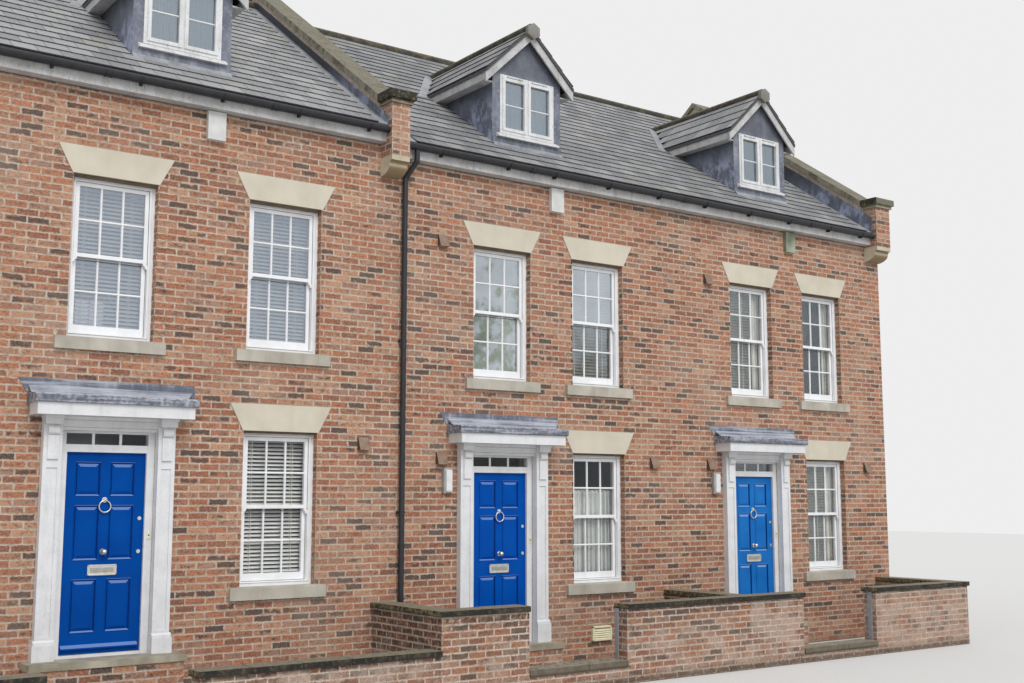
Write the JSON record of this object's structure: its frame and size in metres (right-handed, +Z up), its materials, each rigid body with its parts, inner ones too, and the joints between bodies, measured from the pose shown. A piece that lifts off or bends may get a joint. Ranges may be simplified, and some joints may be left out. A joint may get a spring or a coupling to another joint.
{
  "type": "terraced house row",
  "caption": "Row of brick terraced houses with slate roof, gabled attic dormers, sash windows, opening panelled front doors and low front garden walls.",
  "frame": {"origin": "bottom centre of the overall box, on the lowest ground level", "axes": "+X along the street front to the right as seen from the street, +Y from the street into the houses, +Z up"},
  "size_m": [14.772, 9.66, 9.8477],
  "materials": {
    "brick": "red facing brick, some burnt blue, in pale mortar",
    "concrete_floor": "floated",
    "floor_timber": "sawn boards",
    "stone": "cream cast stone, weathered",
    "coping_stone": "dark stone with moss",
    "step_stone": "worn sandstone",
    "slate": "split slate",
    "ridge_tile": "clay tile with moss",
    "lead": "weathered sheet lead",
    "white_timber": "white gloss paint",
    "grey_timber": "pale grey paint",
    "window_glass": "clear",
    "black_plastic": "black, slightly faded",
    "blue_door_a": "deep blue gloss paint",
    "blue_door_b": "deep blue gloss paint",
    "blue_door_c": "lighter blue gloss paint",
    "door_brass": "polished",
    "vent_plastic": "brown",
    "box_plastic": "white",
    "light_body": "grey body, pale diffuser"
  },
  "bodies": {
    "house_row": {"ground_floors": "concrete_floor", "upper_floors": "floor_timber", "front_wall_base": "brick", "front_wall_ground": "brick", "front_wall_upper": "brick", "rear_wall": "brick", "party_walls": "brick", "gable_wall": "brick", "parapet_copings": "stone", "kneelers": "stone", "roof_front": "slate", "roof_rear": "slate", "ridge_tiles": "ridge_tile", "dormer_walls": "lead", "dormer_roofs": "slate", "dormer_bargeboards": "grey_timber", "dormer_windows": "white_timber", "dormer_ridge_blocks": "stone", "lintels": "stone", "sills": "stone", "window_frames": "white_timber", "window_sashes": "white_timber", "window_glass": "window_glass", "fascia_boards": "grey_timber", "gutters": "black_plastic", "downpipe": "black_plastic", "door_frames": "white_timber", "door_surrounds": "white_timber", "door_canopies": "white_timber", "leadwork": "lead", "door_steps": "step_stone", "garden_walls": "brick", "low_garden_walls": "brick", "garden_copings": "coping_stone", "entrance_slabs": "step_stone", "wall_vents": "vent_plastic", "alarm_boxes": "box_plastic", "wall_lights": "light_body", "rear_doors": "white_timber"},
    "door_a": {"door_leaf_a": "blue_door_a", "door_furniture_a": "door_brass"},
    "door_b": {"door_leaf_b": "blue_door_b", "door_furniture_b": "door_brass"},
    "door_c": {"door_leaf_c": "blue_door_c", "door_furniture_c": "door_brass"}
  },
  "joints": [
    {"name": "front_door_a", "type": "hinge", "parent": "house_row", "child": "door_a", "pos_m": [-5.86675, -3.192, 1.643], "axis": [0, 0, 1], "range_deg": [0, 90]},
    {"name": "front_door_b", "type": "hinge", "parent": "house_row", "child": "door_b", "pos_m": [-0.85875, -3.192, 1.493], "axis": [0, 0, 1], "range_deg": [0, 90]},
    {"name": "front_door_c", "type": "hinge", "parent": "house_row", "child": "door_c", "pos_m": [3.79125, -3.192, 1.493], "axis": [0, 0, 1], "range_deg": [0, 90]}
  ]
}
